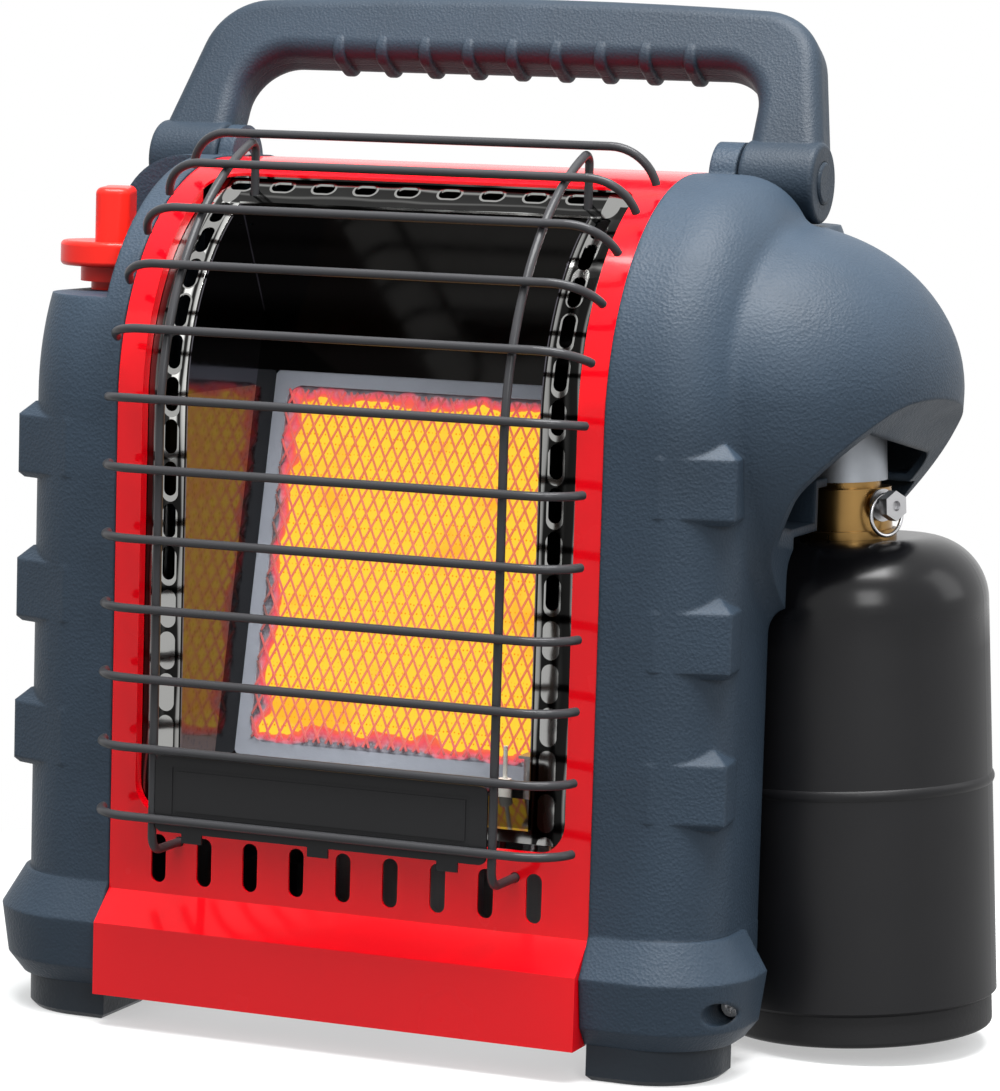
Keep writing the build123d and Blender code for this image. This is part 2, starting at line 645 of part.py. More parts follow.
# ---------------------------------------------------------------- handle
def handle_outline(shrink):
    """Front view of the bail: two arms that taper inward and a slightly crowned grip."""
    tapering = tan(radians(12))
    foot = -9.0 + shrink
    top = HANDLE_TOP - shrink
    out_low, out_top = HANDLE_X - shrink, HANDLE_X - (HANDLE_TOP - 12) * tapering - shrink
    under = HANDLE_TOP - GRIP + shrink
    inner = ARM_IN + shrink
    with BuildSketch() as view:
        with BuildLine():
            Polyline((-out_top, top - 4), (-out_low, 8), (-out_low, foot), (-inner, foot), (-inner, under))
            Line((-inner, under), (inner, under))
            Polyline((inner, under), (inner, foot), (out_low, foot), (out_low, 8), (out_top, top - 4))
            ThreePointArc((out_top, top - 4), (0, top), (-out_top, top - 4))
        make_face()
    bar = view.sketch
    shoulders = [v for v in bar.vertices() if abs(v.Y - top + 4) < 0.01]
    bar = fillet(shoulders, 26 - shrink)
    inners = [v for v in bar.vertices() if abs(v.Y - under) < 0.01]
    return fillet(inners, 18 + shrink)


RIBS = 9
RIB_PITCH = 18.0
RIB_MID = 4.5


def grip_rib(x):
    """One raised rib wrapped round the lower half of the grip."""
    low = HANDLE_TOP - GRIP
    rib = Pos(x, 0, low + 4.8) * Box(5.0, 2 * ARM_HALF + 0.6, 14.0)
    along = rib.edges().filter_by(Axis.X)
    rib = fillet(along, 6.6)
    rims = [e for e in rib.edges() if abs(abs(e.center().X - x) - 2.5) < 0.01]
    return fillet(rims, 1.6)


def handle():
    """The bail in its own upright frame, ribs under the grip and hollow inside."""
    body = extrude(Plane.XZ * handle_outline(0), ARM_HALF, both=True)
    rims = [e for e in body.edges() if abs(abs(e.center().Y) - ARM_HALF) < 0.01 and e.center().Z > -8]
    body = fillet(rims, RIM_ROUND)
    for side in (-1, 1):
        knuckle = rod((side * ARM_IN, 0, 0), (side * HANDLE_X, 0, 0), 15.0)
        knuckle = fillet(knuckle.edges().filter_by(GeomType.CIRCLE), 2.0)
        body += knuckle
    for i in range(RIBS):
        body += grip_rib(RIB_MID + (i - (RIBS - 1) / 2) * RIB_PITCH)
    hollow = extrude(Plane.XZ * handle_outline(5.5), ARM_HALF - 5.0, both=True)
    body -= hollow & block(-200, 200, -20, 20, 20, 100)
    for side in (-1, 1):
        body -= rod((side * 90, 0, 0), (side * 140, 0, 0), 4.0)
        body -= rod((side * (HANDLE_X - 2.5), 0, 0), (side * 145, 0, 0), 8.0)
    return body


def placed_handle(shape):
    """Lean a handle part back to where it rests."""
    return Pos(HANDLE_MID, PIVOT_Y, PIVOT_Z) * (Rot(-HANDLE_LEAN, 0, 0) * shape)


def handle_pins():
    """Two steel pins through the casing lugs and the handle arms."""
    pins = []
    for side in (-1, 1):
        end = HANDLE_MID + side * (HANDLE_X - 3)
        pins.append(rod((side * 97, PIVOT_Y, PIVOT_Z), (end, PIVOT_Y, PIVOT_Z), 4.0 - FIT))
    return Compound(pins)


def pivot_caps():
    """Round plugs that cover the pins on the outside of each arm."""
    caps = []
    for side in (-1, 1):
        cap = rod((side * (HANDLE_X - 2.3), 0, 0), (side * (HANDLE_X + 1.0), 0, 0), 7.8)
        outer = cap.faces().sort_by(Axis.X)[-1 if side > 0 else 0]
        caps.append(placed_handle(chamfer(outer.edges(), 0.8)))
    return Compound(caps)


# ---------------------------------------------------------------- gas control
def control_knob():
    """Round push-and-turn knob with a raised thumb bar."""
    base = Pos(0, 0, 277) * Cylinder(20.7, 9.5, align=(Align.CENTER, Align.CENTER, Align.MIN))
    base = fillet(base.edges(), 1.8)
    collar = Pos(0, 0, 271.2) * Cylinder(13.0, 6.3, align=(Align.CENTER, Align.CENTER, Align.MIN))
    stem = Pos(0, 0, 258) * Cylinder(9.0, 14.0, align=(Align.CENTER, Align.CENTER, Align.MIN))
    bar = Pos(0, 0, 296.5) * Box(13.0, 35.0, 21.0)
    bar = fillet(bar.edges().filter_by(Axis.Z), 4.5)
    bar = fillet(bar.faces().sort_by(Axis.Z)[-1].edges(), 2.5)
    knob = base + collar + stem + Rot(0, 0, 22) * bar
    knob -= Pos(0, 0, 250) * Cylinder(3.02, 14, align=(Align.CENTER, Align.CENTER, Align.MIN))
    return Pos(KNOB_X, KNOB_Y, 0) * knob


def on_knob_axis(z0, z1, radius):
    """A round bar on the knob's axis."""
    return rod((KNOB_X, KNOB_Y, z0), (KNOB_X, KNOB_Y, z1), radius)


VALVE_LOW, VALVE_HIGH, NECK_HIGH = 190.0, 228.0, 236.0
PLATE_Z = 256.2
INLET_Z = 212.0


def valve_body():
    """Brass gas valve with safety magnet housing, bored for the spindle and the push rod."""
    body = block(-134, -PANEL_X + 0.5, -32, 3.5, VALVE_LOW, VALVE_HIGH)
    body = fillet(body.edges().filter_by(Axis.Z), 3)
    body += on_knob_axis(VALVE_HIGH - 1, NECK_HIGH, 6.0)
    body += on_knob_axis(172, VALVE_LOW + 1, 6.5)
    body -= on_knob_axis(211, NECK_HIGH + 1, 3.0 + FIT)
    body -= on_knob_axis(199.5, 212, 2.0 + FIT)
    body -= rod((-112, -6, INLET_Z), (-112, 10, INLET_Z), 3.05)
    body -= rod((-106, -8, 180), (-106, -8, 196), 2.55)
    body -= rod((-104, -26, 180), (-104, -26, 196), 1.65)
    return body


def push_plate():
    """Steel plate under the knob that carries its push to the igniter."""
    plate_shape = Pos(KNOB_X, KNOB_Y + 12, PLATE_Z) * extrude(SlotOverall(38, 13, rotation=90), 1.5)
    return plate_shape - on_knob_axis(250, 260, 3.0 + 0.3)


def push_rod():
    """Rod under the spindle that opens the safety magnet."""
    return on_knob_axis(203, 214.2, 2.0)


def return_spring():
    """Coil spring that lifts the knob again."""
    turns, wire = 5.0, 0.55
    height = PLATE_Z - NECK_HIGH - 2 * wire - 0.4
    path = Helix(pitch=height / turns, height=height, radius=4.9)
    start = Plane(origin=path @ 0, z_dir=path % 0)
    coil = sweep(start * Circle(wire), path=path)
    return Pos(KNOB_X, KNOB_Y, NECK_HIGH + wire + 0.2) * coil


IGNITER_Y = KNOB_Y + 25
LEAD_Z = 28.0


def igniter_body():
    """Piezo igniter barrel beside the valve."""
    barrel = rod((KNOB_X, IGNITER_Y, 204), (KNOB_X, IGNITER_Y, 241), 7.0)
    barrel -= rod((KNOB_X, IGNITER_Y, 222), (KNOB_X, IGNITER_Y, 245), 3.0 + FIT)
    return barrel + block(KNOB_X + 5, -PANEL_X + 0.5, IGNITER_Y - 3, IGNITER_Y + 3, 225, 233)


def igniter_plunger():
    """Plunger of the piezo igniter, pressed by the push plate."""
    return rod((KNOB_X, IGNITER_Y, 227), (KNOB_X, IGNITER_Y, PLATE_Z - 0.05), 3.0)


BRACKET_X = -PANEL_X + 0.5


def valve_bracket():
    """Folded steel bracket that carries the valve, the igniter and the gas injector."""
    web = block(BRACKET_X, BRACKET_X + 1.5, -19, 16, BASE_Z + BASE_T, 250)
    arm = block(BRACKET_X, BRACKET_X + 1.5, 15, 58, 94, 122)
    foot = block(BRACKET_X, BRACKET_X + 14, -19, 16, BASE_Z + BASE_T, BASE_Z + BASE_T + 1.5)
    bracket = web + arm + foot - rod((-100, 48, 108), (-80, 48, 108), 2.8)
    return bracket - rod((-100, IGNITER_Y, LEAD_Z), (-80, IGNITER_Y, LEAD_Z), 2.4)


def injector():
    """Brass holder and jet that point into the mixing tube."""
    holder = rod((BRACKET_X + 1.5, 48, 108), (-83, 48, 108), 8.0)
    holder += rod((-84, 48, 108), (-78.5, 48, 108), 3.5)
    return holder - rod((-100, 48, 108), (-86, 48, 108), 2.55)


def feed_tube():
    """Aluminium tube from the swivel elbow round the back to the valve."""
    y, x = ELBOW_Y, -112
    return pipe([(134, y, SWING_Z), (x, y, SWING_Z), (x, y, INLET_Z), (x, -5, INLET_Z)], (14, 14), 3.0)


def burner_tube():
    """Aluminium tube from the valve down to the injector."""
    points = [(-106, -8, 189), (-106, -8, 150), (-106, 48, 150), (-106, 48, 108), (-88, 48, 108)]
    return pipe(points, (12, 12, 8), 2.5)


def pilot_tube():
    """Thin aluminium tube from the valve to the pilot."""
    points = [(-104, -26, 190.5), (-104, -26, 66), (56, -26, 66), (56, -26, 82)]
    return pipe(points, (12, 8), 1.6)


PILOT_Y = -30.0
SHELF = 82.0


def pilot_bracket():
    """Small shelf on a leg that holds the pilot, the electrode and the thermocouple."""
    shelf = block(41, 73, -37, -22, SHELF, SHELF + 1.2)
    leg = block(71.8, 73, -37, -22, BASE_Z + BASE_T, SHELF + 1.2)
    holes = rod((56, -26, 80), (56, -26, 85), 1.7) + rod((46, -32, 80), (46, -32, 85), 1.2)
    return shelf + leg - holes - rod((65, -32, 80), (65, -32, 85), 1.2)


def pilot_burner():
    """Pilot tube with a hooded flame port."""
    body = rod((56, -28, SHELF + 1.2), (56, -28, 106), 4.0)
    hood = block(51.5, 60.5, -33, -24, 106, 107)
    return body + hood - rod((56, -32, 100), (56, -45, 100), 1.8)


def spark_electrode():
    """Ceramic-bodied electrode beside the pilot."""
    return rod((46, -32, SHELF + 1.2), (46, -32, 98), 2.5) + rod((46, -32, 98), (46, -32, 110), 0.8)


def thermocouple():
    """Thermocouple in the pilot flame."""
    return rod((65, -32, SHELF + 1.2), (65, -32, 96), 2.4) + rod((65, -32, 96), (65, -32, 112), 1.5)


def thermocouple_lead():
    """Copper capillary from the thermocouple to the valve magnet."""
    low = 21.0
    points = [(65, -32, SHELF + 1.0), (65, -32, low), (KNOB_X, -32, low)]
    points += [(KNOB_X, KNOB_Y, low), (KNOB_X, KNOB_Y, 171.8)]
    return pipe(points, (10, 8, 8), 1.1)


def igniter_lead():
    """Insulated lead from the igniter to the electrode."""
    y = IGNITER_Y
    points = [(KNOB_X, y, 203.8), (KNOB_X, y, LEAD_Z), (46, y, LEAD_Z)]
    points += [(46, -32, LEAD_Z), (46, -32, SHELF + 1.0)]
    return pipe(points, (12, 12, 12), 1.1)


# ---------------------------------------------------------------- tip-over switch
SWITCH = (-70.0, 30.0)
SWITCH_PIVOT_Z = 41.0


def switch_case():
    """Closed case of the tip-over switch."""
    x, y = SWITCH
    z0 = BASE_Z + BASE_T
    case = block(x - 11, x + 11, y - 13, y + 13, z0, z0 + 33)
    case -= block(x - 9, x + 9, y - 11, y + 11, z0 + 2, z0 + 31)
    return case - rod((x - 12, y, SWITCH_PIVOT_Z), (x + 12, y, SWITCH_PIVOT_Z), 1.52)


def switch_pin():
    """Pivot pin of the tip-over weight."""
    x, y = SWITCH
    return rod((x - 11, y, SWITCH_PIVOT_Z), (x + 11, y, SWITCH_PIVOT_Z), 1.5)


def switch_weight():
    """Swinging weight that breaks the flame-safety circuit when the heater tips."""
    x, y = SWITCH
    eye = rod((x - 4, y, SWITCH_PIVOT_Z), (x + 4, y, SWITCH_PIVOT_Z), 3.2)
    arm = block(x - 1.5, x + 1.5, y - 1.5, y + 1.5, 26, SWITCH_PIVOT_Z)
    bob = rod((x - 6, y, 24), (x + 6, y, 24), 4.5)
    return eye + arm + bob - rod((x - 8, y, SWITCH_PIVOT_Z), (x + 8, y, SWITCH_PIVOT_Z), 1.5 + FIT)


# ---------------------------------------------------------------- regulator
ELBOW_Y = 68.0
DRUM_BACK = 56.0


def swivel_elbow():
    """Brass elbow on which the regulator swings; the feed tube leaves its side."""
    body = block(SWING_X - 8, SWING_X + 8, ELBOW_Y - 8, ELBOW_Y + 8, SWING_Z - 8, SWING_Z + 8)
    body = fillet(body.edges().filter_by(Axis.Y), 3)
    body += rod((SWING_X, DRUM_BACK - 8, SWING_Z), (SWING_X, ELBOW_Y - 7, SWING_Z), 5.0)
    return body - rod((130, ELBOW_Y, SWING_Z), (138, ELBOW_Y, SWING_Z), 3.05)


def regulator_bracket():
    """Steel plate on two posts that holds the elbow off the back of the casing."""
    near = ELBOW_Y + 8.05
    bracket = block(98, 146, near, near + 1.6, 242, 262)
    for z in (247, 257):
        bracket += rod((104, near + 1.6, z), (104, REAR - WALL + PROUD - 0.05, z), 4.0)
    return bracket


INLET_R = 15.2
COVER_Y = 29.85         # where the cover meets the drum


def regulator_body():
    """Cast regulator: a drum on the swivel axis and the threaded inlet below it."""
    drum = rod((SWING_X, COVER_Y + 0.05, SWING_Z), (SWING_X, DRUM_BACK, SWING_Z), 23.0)
    drum = fillet(drum.edges().sort_by(Axis.Y)[-1], 3)
    inlet = rod((CYL_X, CYL_Y, 208), (CYL_X, CYL_Y, SWING_Z - 2), INLET_R)
    inlet -= block(100, 200, 0, COVER_Y + 0.05, 228.5, SWING_Z)
    casting = drum + inlet
    casting -= rod((CYL_X, CYL_Y, 200), (CYL_X, CYL_Y, 223), THREAD_R + FIT)
    casting -= rod((CYL_X, CYL_Y, 222), (CYL_X, CYL_Y, 232), 5.0)
    return casting - rod((SWING_X, DRUM_BACK - 9, SWING_Z), (SWING_X, DRUM_BACK + 1, SWING_Z), 5.0 + FIT)


def regulator_cover():
    """Domed diaphragm cover on the front of the regulator."""
    cover = rod((SWING_X, 23, SWING_Z), (SWING_X, COVER_Y, SWING_Z), 21.5)
    cover = fillet(cover.edges().sort_by(Axis.Y)[0], 3)
    return cover + rod((SWING_X, 18, SWING_Z), (SWING_X, 24, SWING_Z), 8.0)


def regulator_screws():
    """Four screws round the diaphragm cover."""
    screws = []
    for i in range(4):
        turn = pi / 4 + i * pi / 2
        x, z = SWING_X + 16 * cos(turn), SWING_Z + 16 * sin(turn)
        screws.append(rod((x, 21.2, z), (x, 22.95, z), 2.4))
    return Compound(screws)


# ---------------------------------------------------------------- gas cylinder
SHOULDER_Z = 187.0
COLLAR_Z = 205.5


def cylinder_profile(inset):
    """Half section of the cylinder, as a face in the XZ plane."""
    radius, low, high = CYL_R - inset, 14 + inset, SHOULDER_Z - inset
    shoulder = 24.0 - inset
    bead_z, bead = 97.5, BEAD
    with BuildSketch(Plane.XZ) as half:
        with BuildLine():
            Line((0, low + 4), (36, low + 4))
            Line((36, low + 4), (46 - inset, low))
            Line((46 - inset, low), (radius, low + 4))
            Line((radius, low + 4), (radius, bead_z - 2))
            ThreePointArc((radius, bead_z - 2), (radius + bead, bead_z), (radius, bead_z + 2))
            Line((radius, bead_z + 2), (radius, high - shoulder))
            CenterArc((radius - shoulder, high - shoulder), shoulder, 0, 90)
            Line((radius - shoulder, high), (0, high))
            Line((0, high), (0, low + 4))
        make_face()
    return half.sketch


def cylinder_shell():
    """Steel gas cylinder, rounded at the shoulder, with a weld bead round its middle."""
    outer = revolve(cylinder_profile(0), Axis.Z)
    inner = revolve(cylinder_profile(1.4), Axis.Z)
    shell = Pos(CYL_X, CYL_Y, 0) * (outer - inner)
    return shell - rod((CYL_X, CYL_Y, 170), (CYL_X, CYL_Y, 200), 9.0)


def cylinder_foot():
    """Pressed foot ring of the cylinder."""
    ring = rod((CYL_X, CYL_Y, CYL_LOW), (CYL_X, CYL_Y, 16.6), 49.6)
    ring = fillet(ring.edges().sort_by(Axis.Z)[0], 2)
    ring -= rod((CYL_X, CYL_Y, 0), (CYL_X, CYL_Y, 20), 46.8)
    return ring - Pos(CYL_X, CYL_Y, 0) * revolve(cylinder_profile(-0.02), Axis.Z)


def cylinder_valve():
    """Brass valve: plug in the shoulder, wide collar, and the threaded neck."""
    centre = (CYL_X, CYL_Y)
    valve = rod((*centre, 178), (*centre, SHOULDER_Z + 0.1), 8.9)
    valve += rod((*centre, SHOULDER_Z + 0.02), (*centre, SHOULDER_Z + 3), 18.0)
    valve += rod((*centre, SHOULDER_Z + 3), (*centre, COLLAR_Z), 16.5)
    valve += rod((*centre, COLLAR_Z), (*centre, 219), THREAD_R)
    valve -= rod((*centre, 200), (*centre, 225), 4.0)
    return valve + rod(on_relief_axis(14), on_relief_axis(18.5), 5.0)


RELIEF_Z = 199.5
RELIEF_TURN = 60.0      # degrees from the front towards the right
RELIEF_OUT = Vector(sin(radians(RELIEF_TURN)), -cos(radians(RELIEF_TURN)), 0)
RELIEF_NECK = 3.0
RING_R = 7.6
RING_WIRE = 0.75


def on_relief_axis(distance, drop=0.0):
    """A point on the relief valve's axis, by distance out from the cylinder axis."""
    point = Vector(CYL_X, CYL_Y, RELIEF_Z - drop) + RELIEF_OUT * distance
    return (point.X, point.Y, point.Z)


def relief_valve():
    """Safety relief valve screwed into the collar: flange, neck and hexagonal head."""
    flange = rod(on_relief_axis(18.55), on_relief_axis(19.5), 6.0)
    neck = rod(on_relief_axis(19.4), on_relief_axis(22.6), RELIEF_NECK)
    seat = Plane(origin=on_relief_axis(22.5), x_dir=(0, 0, 1), z_dir=RELIEF_OUT)
    head = seat * extrude(RegularPolygon(5.6, 6), 4.0)
    return flange + neck + head - rod(on_relief_axis(25), on_relief_axis(28), 1.9)


def pull_ring():
    """Wire ring that hangs round the neck of the relief valve."""
    drop = RING_R - RING_WIRE - RELIEF_NECK - 0.3
    hoop = Plane(origin=on_relief_axis(21.0, drop), x_dir=(0, 0, 1), z_dir=RELIEF_OUT)
    return hoop * Torus(RING_R, RING_WIRE)


def inlet_seal():
    """Rubber washer between the cylinder neck and the regulator inlet."""
    seal = rod((CYL_X, CYL_Y, 219.3), (CYL_X, CYL_Y, 221.8), 12.2)
    return seal - rod((CYL_X, CYL_Y, 210), (CYL_X, CYL_Y, 230), 4.5)


# ---------------------------------------------------------------- fasteners
def casing_screws():
    """Screw at the bottom of the well in the right casing."""
    x, z = WELL
    top = WELL_DEEP - 2.6
    head = rod((x, top, z), (x, WELL_DEEP - 0.1, z), 3.6)
    shank = rod((x, WELL_DEEP - 0.2, z), (x, WELL_DEEP + 10, z), 1.6)
    cross = block(x - 0.5, x + 0.5, top - 1, top + 1, z - 2.2, z + 2.2)
    cross += block(x - 2.2, x + 2.2, top - 1, top + 1, z - 0.5, z + 0.5)
    return head + shank - cross


def rear_screws():
    """Pan-head screws round the back panel."""
    screws = []
    for x in (-86, 86):
        for z in (24, 150, 262):
            screws.append(rod((x, REAR + 0.05, z), (x, REAR + 2.2, z), 3.5))
    return Compound(screws)


# ---------------------------------------------------------------- write the parts
save("front_panel", front_panel())
save("rear_panel", rear_panel())
save("base_plate", base_plate())
save("right_casing", right_casing())
save("left_casing", left_casing())
save("foot_front_right", front_foot())
save("foot_front_left", mirrored(front_foot()))
save("foot_rear_right", rear_foot())
save("foot_rear_left", mirrored(rear_foot()))
save("reflector", reflector())
save("burner_tile", plate(TILE[0], TILE[1], -TILE[2], -0.1))
save("burner_pan", burner_pan())
save("tile_gasket", tile_gasket())
save("tile_frame", tile_frame())
save("burner_mesh", burner_mesh())
save("venturi_tube", venturi())
save("heat_shield", heat_shield())
save("pan_supports", pan_supports())
save("guard_cross_wires", guard_cross_wires())
save("guard_upright_wires", guard_uprights())
save("guard_plate", guard_plate())
bail = handle()
save("handle_front", placed_handle(bail & block(-200, 200, -40, 0, -40, 100)))
save("handle_back", placed_handle(bail & block(-200, 200, 0, 40, -40, 100)))
save("handle_pins", handle_pins())
save("pivot_caps", pivot_caps())
save("control_knob", control_knob())
save("valve_spindle", on_knob_axis(214.5, 263, 3.0))
save("valve_body", valve_body())
save("push_plate", push_plate())
save("push_rod", push_rod())
save("return_spring", return_spring())
save("igniter_body", igniter_body())
save("igniter_plunger", igniter_plunger())
save("valve_bracket", valve_bracket())
save("gas_injector", injector())
save("feed_tube", feed_tube())
save("burner_tube", burner_tube())
save("pilot_tube", pilot_tube())
save("pilot_bracket", pilot_bracket())
save("pilot_burner", pilot_burner())
save("spark_electrode", spark_electrode())
save("thermocouple", thermocouple())
save("thermocouple_lead", thermocouple_lead())
save("igniter_lead", igniter_lead())
save("tip_switch_case", switch_case())
save("tip_switch_pin", switch_pin())
save("tip_switch_weight", switch_weight())
save("swivel_elbow", swivel_elbow())
save("regulator_bracket", regulator_bracket())
save("regulator_body", hung(regulator_body()))
save("regulator_cover", hung(regulator_cover()))
save("regulator_screws", hung(regulator_screws()))
save("inlet_seal", hung(inlet_seal()))
save("cylinder_shell", hung(cylinder_shell()))
save("cylinder_foot", hung(cylinder_foot()))
save("cylinder_valve", hung(cylinder_valve()))
save("relief_valve", hung(relief_valve()))
save("pull_ring", hung(pull_ring()))
save("casing_screws", casing_screws())
save("rear_screws", rear_screws())
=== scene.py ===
"""Looks of a portable propane heater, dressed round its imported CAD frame. Lengths in metres."""
import math

import bpy
from mathutils import Matrix, Vector


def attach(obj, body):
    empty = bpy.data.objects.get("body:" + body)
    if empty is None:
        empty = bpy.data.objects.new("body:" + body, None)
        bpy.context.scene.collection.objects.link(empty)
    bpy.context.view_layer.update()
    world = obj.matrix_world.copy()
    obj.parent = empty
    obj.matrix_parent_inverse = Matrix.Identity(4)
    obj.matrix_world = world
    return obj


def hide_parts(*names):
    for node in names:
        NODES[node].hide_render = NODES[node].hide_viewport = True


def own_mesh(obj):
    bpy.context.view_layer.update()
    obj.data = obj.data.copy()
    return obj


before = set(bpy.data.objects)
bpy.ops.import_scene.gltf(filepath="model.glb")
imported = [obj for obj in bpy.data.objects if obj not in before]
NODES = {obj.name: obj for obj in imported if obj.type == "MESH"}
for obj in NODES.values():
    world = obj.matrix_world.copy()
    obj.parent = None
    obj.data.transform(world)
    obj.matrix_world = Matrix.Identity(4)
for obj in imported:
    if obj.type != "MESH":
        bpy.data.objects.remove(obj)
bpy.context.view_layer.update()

# The CAD was drawn about the middle of the red wrap, in millimetres, then moved by this much.
SHIFT = Vector((-31.49, 1.05, 0.0))


def at(x, y, z):
    """A point given in the drawing's millimetres, as metres in the shared frame."""
    return (Vector((x, y, z)) + SHIFT) / 1000


# ---------------------------------------------------------------- camera
def make_camera():
    """The photograph's viewpoint: 22 degrees to the right, a little above, rolled slightly."""
    azimuth, pitch, roll = math.radians(22.0), math.radians(6.55), math.radians(1.65)
    distance, focal_px, image_height = 1.536, 4132.0, 1091.0
    target = at(28.5, 0, 179.4)
    level = math.cos(pitch)
    back = Vector((math.sin(azimuth) * level, -math.cos(azimuth) * level, math.sin(pitch)))
    right = Vector((math.cos(azimuth), math.sin(azimuth), 0))
    up = back.cross(right)
    turned_right = right * math.cos(roll) + up * math.sin(roll)
    turned_up = up * math.cos(roll) - right * math.sin(roll)
    data = bpy.data.cameras.new("camera")
    data.sensor_fit = "VERTICAL"
    data.sensor_height = 36.0
    data.lens = focal_px * data.sensor_height / image_height
    camera = bpy.data.objects.new("camera", data)
    bpy.context.scene.collection.objects.link(camera)
    axes = Matrix((turned_right, turned_up, back)).transposed().to_4x4()
    camera.matrix_world = Matrix.Translation(target + back * distance) @ axes
    bpy.context.scene.camera = camera


make_camera()


# ---------------------------------------------------------------- materials
def fill_ramp(elements, stops):
    """Set a new ramp's two elements to the first and last stop, and add the rest between them."""
    for element, (position, colour) in zip(elements, (stops[0], stops[-1])):
        element.position = position
        element.color = (*colour, 1)
    for position, colour in stops[1:-1]:
        elements.new(position).color = (*colour, 1)


class Nodes:
    """A small helper that builds one node material."""

    def __init__(self, name):
        self.material = bpy.data.materials.new(name)
        self.material.use_nodes = True
        self.tree = self.material.node_tree
        self.shader = self.tree.nodes["Principled BSDF"]
        self.coords = self.tree.nodes.new("ShaderNodeTexCoord").outputs["Object"]

    def add(self, kind, **values):
        node = self.tree.nodes.new(kind)
        for key, value in values.items():
            if key in node.inputs:
                node.inputs[key].default_value = value
            else:
                setattr(node, key, value)
        return node

    def link(self, a, b):
        self.tree.links.new(a, b)

    def set(self, **values):
        for key, value in values.items():
            self.shader.inputs[key.replace("_", " ")].default_value = value

    def scaled(self, scale, rotation=(0, 0, 0)):
        mapping = self.add("ShaderNodeMapping")
        mapping.inputs["Scale"].default_value = scale
        mapping.inputs["Rotation"].default_value = rotation
        self.link(self.coords, mapping.inputs["Vector"])
        return mapping.outputs["Vector"]

    def noise(self, scale, detail=3.0, rough=0.5, stretch=(1, 1, 1)):
        texture = self.add("ShaderNodeTexNoise", Scale=scale, Detail=detail, Roughness=rough)
        self.link(self.scaled(stretch), texture.inputs["Vector"])
        return texture.outputs["Fac"]

    def cells(self, scale):
        texture = self.add("ShaderNodeTexVoronoi", Scale=scale)
        self.link(self.coords, texture.inputs["Vector"])
        return texture.outputs["Distance"]

    def ramp(self, source, stops):
        """A colour ramp; stops are (place, colour) in rising order."""
        node = self.add("ShaderNodeValToRGB")
        fill_ramp(node.color_ramp.elements, stops)
        self.link(source, node.inputs["Fac"])
        return node.outputs["Color"]

    def colour(self, source):
        self.link(source, self.shader.inputs["Base Color"])

    def roughness(self, source, low, high):
        node = self.add("ShaderNodeMapRange")
        node.inputs["To Min"].default_value = low
        node.inputs["To Max"].default_value = high
        self.link(source, node.inputs["Value"])
        self.link(node.outputs["Result"], self.shader.inputs["Roughness"])

    def bump(self, source, strength, height):
        node = self.add("ShaderNodeBump", Strength=strength, Distance=height)
        self.link(source, node.inputs["Height"])
        self.link(node.outputs["Normal"], self.shader.inputs["Normal"])
        return node


def shade(base, factor):
    return tuple(c * factor for c in base)


def moulded(name, base, grain, height, low=0.42, high=0.6, soft=0.0):
    """Moulded plastic with a spark-eroded grain and faint colour clouding."""
    m = Nodes(name)
    m.colour(m.ramp(m.noise(18.0, 4.0), [(0.3, shade(base, 0.86)), (0.7, shade(base, 1.14))]))
    mix = m.add("ShaderNodeMath", operation="ADD")
    m.link(m.noise(grain, 3.0, 0.6), mix.inputs[0])
    m.link(m.cells(grain * 0.8), mix.inputs[1])
    bump = m.bump(mix.outputs[0], 0.55, height)
    if soft:
        edge = m.add("ShaderNodeBevel", samples=4, Radius=soft)
        m.link(edge.outputs["Normal"], bump.inputs["Normal"])
    m.roughness(m.noise(60.0), low, high)
    m.set(Specular_IOR_Level=0.22)
    return m.material


def enamel(name, base, rough, coat):
    """Sprayed or baked enamel with a slight orange peel."""
    m = Nodes(name)
    m.colour(m.ramp(m.noise(9.0, 2.0), [(0.3, shade(base, 0.93)), (0.7, shade(base, 1.05))]))
    m.bump(m.noise(420.0, 2.0), 0.25, 0.00004)
    m.roughness(m.noise(35.0), rough * 0.8, rough * 1.25)
    m.set(Coat_Weight=coat, Coat_Roughness=0.08, Specular_IOR_Level=0.12)
    return m.material


def metal(name, base, low, high, stretch=(1, 1, 1), grain=300.0, height=0.00002, strength=0.2):
    """Bare metal with fine drawn or rolled marks."""
    m = Nodes(name)
    m.colour(m.ramp(m.noise(grain * 0.2, 4.0, 0.6, stretch), [(0.3, shade(base, 0.88)), (0.7, base)]))
    m.set(Metallic=1.0)
    m.bump(m.noise(grain, 4.0, 0.6, stretch), strength, height)
    m.roughness(m.noise(grain * 0.3, 3.0, 0.5, stretch), low, high)
    return m.material


def measure(m, axis, middle=0.0):
    """Distance from a plane across one axis of the frame, in metres."""
    split = m.add("ShaderNodeSeparateXYZ")
    m.link(m.coords, split.inputs[0])
    shifted = m.add("ShaderNodeMath", operation="SUBTRACT")
    m.link(split.outputs[axis], shifted.inputs[0])
    shifted.inputs[1].default_value = middle
    return shifted.outputs[0]


def maths(m, operation, a, b=0.0):
    """One math node; b is a socket or a number."""
    node = m.add("ShaderNodeMath", operation=operation)
    m.link(a, node.inputs[0])
    if isinstance(b, float):
        node.inputs[1].default_value = b
    else:
        m.link(b, node.inputs[1])
    return node.outputs[0]


def above(m, source, limit):
    """1 where the source is over the limit."""
    return maths(m, "GREATER_THAN", source, limit)


